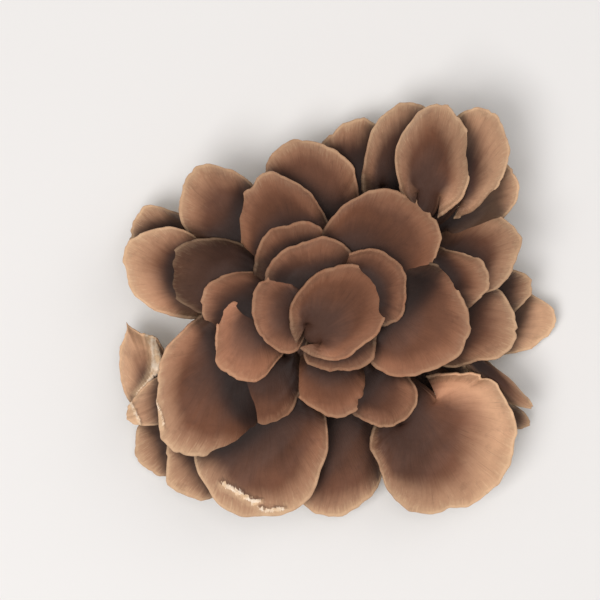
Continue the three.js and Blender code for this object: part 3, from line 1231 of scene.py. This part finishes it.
SKIRT, OUTER, MIDDLE, UPPER, CROWN, TOP = Tier
# Painted light: the pale front_right and the paler right_far and right_high, where light falls on them.
# Painted shade: the dark left_shade, partly its own darker colour, and the darker left of right_dome.
FRONDS = [
    Frond("front_right_low", SKIRT, (43, -27), -32, 21, 26),
    Frond("skirt_left", SKIRT, (-54, -45), -142, 22, 26),
    Frond("skirt_front", SKIRT, (-42, -53), -122, 26, 28),
    Frond("right_far", SKIRT, (68, -4.5), -8, 20, 31, tone=1.1),
    Frond("right_sliver_low", SKIRT, (60.5, -34), -30, 7, 22),
    Frond("right_sliver_high", SKIRT, (61, -28), -36, 6, 24),
    Frond("back_right_low", OUTER, (11, 56), 84, 26, 28),
    Frond("front_middle", OUTER, (3, -60), -88, 31, 32),
    Frond("back_right", OUTER, (29, 61), 71, 23, 28),
    Frond("right_edge", OUTER, (61, 8), 12, 16, 24),
    Frond("right_fan", OUTER, (56, -5), -8, 26, 28, tone=0.1),
    Frond("right_high", OUTER, (54.5, 41.5), 36, 22, 26, tone=1.2),
    Frond("left_top", OUTER, (-57, 26.5), 152, 18, 24, tone=0.2),
    Frond("back_middle", OUTER, (-7, 50), 99, 29, 28),
    Frond("right_upper", OUTER, (56, 23), 26, 22, 26),
    Frond("back_corner", OUTER, (48.5, 57.5), 62, 22, 27, tone=0.6),
    Frond("back_left", OUTER, (-39, 40), 132, 23, 26, tone=0.1),
    Frond("left_high", OUTER, (-58.5, 17), 160, 24, 28, tone=0.6),
    Frond("left_middle", OUTER, (-58.6, -3.4), 112, 14, 25, tone=1.0, point=0.35,
          tears=(BROKEN_SIDE, BROKEN_TAIL), density=FINE),
    Frond("left_small", OUTER, (-57.4, -29.4), -160, 14, 25, tone=0.5,
          tears=(LEFT_CRACK,), density=FINE),
    Frond("front_left", OUTER, (-20.5, -59.5), -95, 39, 34, lean=0.3, frill=0.4,
          tears=(TORN_EDGE, TORN_RIM), density=FINE),
    Frond("front_right", OUTER, (47.5, -53.2), -50, 42.6, 32, tone=0.65, lean=1.4, density=FINE),
    Frond("back_right_inner", MIDDLE, (34.5, 60), 79, 20, 27.5, tone=0.1),
    Frond("left_low", MIDDLE, (-41.5, -40), -118, 34, 36, tone=-0.05, lean=-0.5,
          tears=(LOW_CRACK,), density=FINE),
    Frond("left_shade", MIDDLE, (-45, 13), 165, 24, 26, tone=-1.7),
    Frond("right_middle", MIDDLE, (47, 9), -2, 19, 22),
    Frond("front_left_low", MIDDLE, (-21.5, -32), -108, 22, 22, tone=-0.4),
    Frond("front_right_inner", MIDDLE, (21, -33), -62, 19, 19),
    Frond("front_inner", MIDDLE, (3, -30), -84, 21, 19),
    Frond("back_left_inner", MIDDLE, (-21, 38), 122, 24, 26),
    Frond("right_inner", UPPER, (39, -10.2), -30, 32, 27, tone=0.2),
    Frond("right_dome", UPPER, (29.6, 28.4), 38, 33, 30, lean=-0.15),
    Frond("back_inner", UPPER, (-13, 25), 108, 21, 18),
    Frond("left_inner", UPPER, (-35, 2), 177, 21, 24),
    Frond("front_left_inner", UPPER, (-25, -19), -106, 20, 20, tone=0.6),
    Frond("crown_back", CROWN, (-7, 20), 104, 24, 14),
    Frond("crown_front", CROWN, (6.5, -16.7), -74, 20, 13),
    Frond("crown_right", CROWN, (21, 12), 32, 22, 14),
    Frond("crown_left", CROWN, (-20, -1), 188, 21, 13),
    Frond("crown_top", TOP, (14, 9), 40, 25, 22),
]


# --- Studio -----------------------------------------------


@dataclass(frozen=True)
class Studio:
    """The floor, soft lights and the camera, which looks straight down.

    Attributes:
        middle: The point of the cluster's middle height that the camera looks at, in metres.
        distance: From that point to the camera.
        view: How wide the view is there.
        sensor: Width of the camera's sensor, in millimetres.
        floor_size: Length of a side of the floor.
        lamps: Name, place, size and watts of each soft light.
        sky: The sky's colour.
        sky_strength: Its brightness.
    """

    middle: tuple[float, float, float] = (-0.00725, 0.00348, 0.025)
    distance: float = 0.875
    view: float = 0.174
    sensor: float = 36.0
    floor_size: float = 3.0
    lamps: tuple[tuple[str, tuple[float, float, float], float, float], ...] = (
        ("key", (-0.5, -0.45, 1.25), 0.7, 11),
        ("fill", (0.8, 0.5, 1.0), 1.0, 3),
        ("overhead", (0.0, 0.0, 1.7), 1.0, 8),
    )
    sky: Colour = (1.0, 0.99, 0.98, 1.0)
    sky_strength: float = 0.3

    def floor(self) -> None:
        """Lays the floor."""
        half = self.floor_size / 2
        corners = [(-half, -half, 0), (half, -half, 0), (half, half, 0), (-half, half, 0)]
        mesh = bpy.data.meshes.new("floor")
        mesh.from_pydata(corners, [], [(0, 1, 2, 3)])
        mesh.materials.append(PaleFloor().material())
        floor = bpy.data.objects.new("floor", mesh)
        bpy.context.scene.collection.objects.link(floor)

    def lamp(self, name: str, place: tuple[float, float, float], size: float, watts: float) -> None:
        """Hangs a square soft light that faces the cluster.

        Args:
            name: Its name.
            place: Where it hangs, in metres.
            size: The length of its side.
            watts: Its power.
        """
        light = bpy.data.lights.new(name, "AREA")
        light.shape = "SQUARE"
        light.size = size
        light.energy = watts
        lamp = bpy.data.objects.new(name, light)
        lamp.location = place
        x, y, z = np.array(self.middle) - np.array(place)
        lamp.rotation_euler = (math.atan2(math.hypot(x, y), -z), 0, math.atan2(-x, y))
        bpy.context.scene.collection.objects.link(lamp)

    def lights(self) -> None:
        """Hangs the lamps and sets an even pale sky."""
        for lamp in self.lamps:
            self.lamp(*lamp)
        world = bpy.data.worlds.new("soft_sky")
        world.use_nodes = True
        sky = world.node_tree.nodes["Background"]
        sky.inputs["Color"].default_value = self.sky
        sky.inputs["Strength"].default_value = self.sky_strength
        bpy.context.scene.world = world

    def camera(self) -> None:
        """Sets the camera over the cluster, the top of its picture to the back."""
        lens = bpy.data.cameras.new("camera")
        lens.sensor_width = self.sensor
        lens.lens = self.sensor * self.distance / self.view
        camera = bpy.data.objects.new("camera", lens)
        camera.location = (self.middle[0], self.middle[1], self.middle[2] + self.distance)
        bpy.context.scene.collection.objects.link(camera)
        bpy.context.scene.camera = camera
        bpy.context.scene.view_settings.view_transform = "Standard"

    def build(self) -> None:
        """Makes the floor, the lights and the camera."""
        self.camera()
        self.floor()
        self.lights()


def main() -> None:
    """Builds the studio, the base and the fronds, and reports each piece."""
    logging.basicConfig(level=logging.INFO, format="%(name)s: %(message)s")
    Studio().build()
    pieces = [CutBase().build(), *Cluster(FRONDS).build()]
    for piece in pieces:
        LOG.info("%s: %d faces", piece.name, len(piece.data.polygons))


if __name__ == "__main__":
    main()
